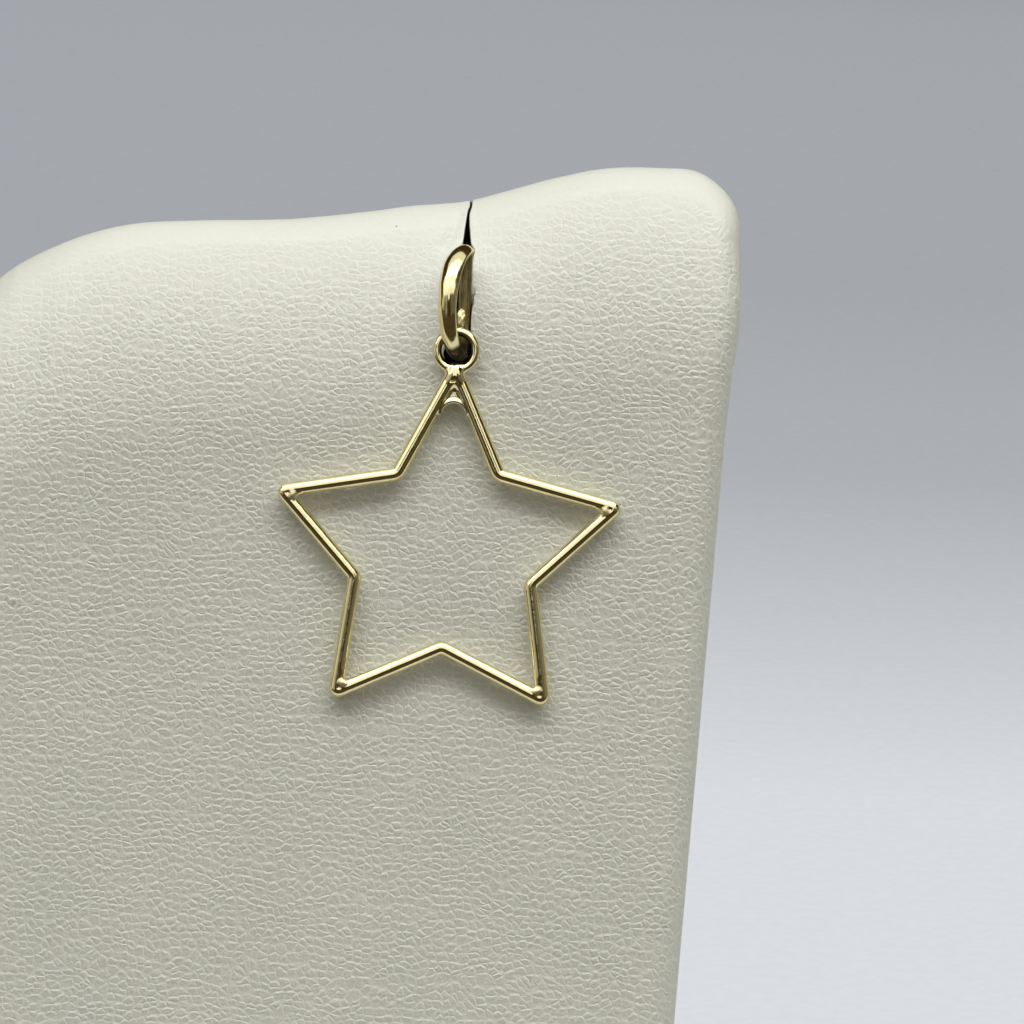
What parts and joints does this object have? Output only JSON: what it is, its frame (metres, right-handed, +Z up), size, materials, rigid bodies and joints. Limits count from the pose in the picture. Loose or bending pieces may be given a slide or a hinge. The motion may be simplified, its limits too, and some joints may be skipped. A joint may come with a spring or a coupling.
{
  "type": "star pendant on a padded display stand",
  "caption": "Open five-point star of round gold wire on a jump ring and domed oval bail, hung in the slit of a cream leatherette display wedge.",
  "frame": {"origin": "middle of the display's flat base, which rests on the table", "axes": "+Z up, +X to the right as the display is looked at, the display's face and the star look towards -Y"},
  "size_m": [0.049, 0.03, 0.0731],
  "materials": {
    "yellow_gold": "polished 18 carat yellow gold wire with small solder marks",
    "bail_gold": "polished yellow gold sheet, a little rough at its solder inside",
    "cream_leatherette": "pebbled cream leatherette, satin"
  },
  "bodies": {
    "display": {"display_pad": "cream_leatherette", "bail": "bail_gold"},
    "star": {"star_drop": "yellow_gold"}
  },
  "joints": [
    {"name": "star_swing", "type": "hinge", "parent": "display", "child": "star", "pos_m": [0.00835, -0.00216, 0.06401], "axis": [-0.9336, 0.3505, -0.0745], "range_deg": [0, 95]}
  ]
}
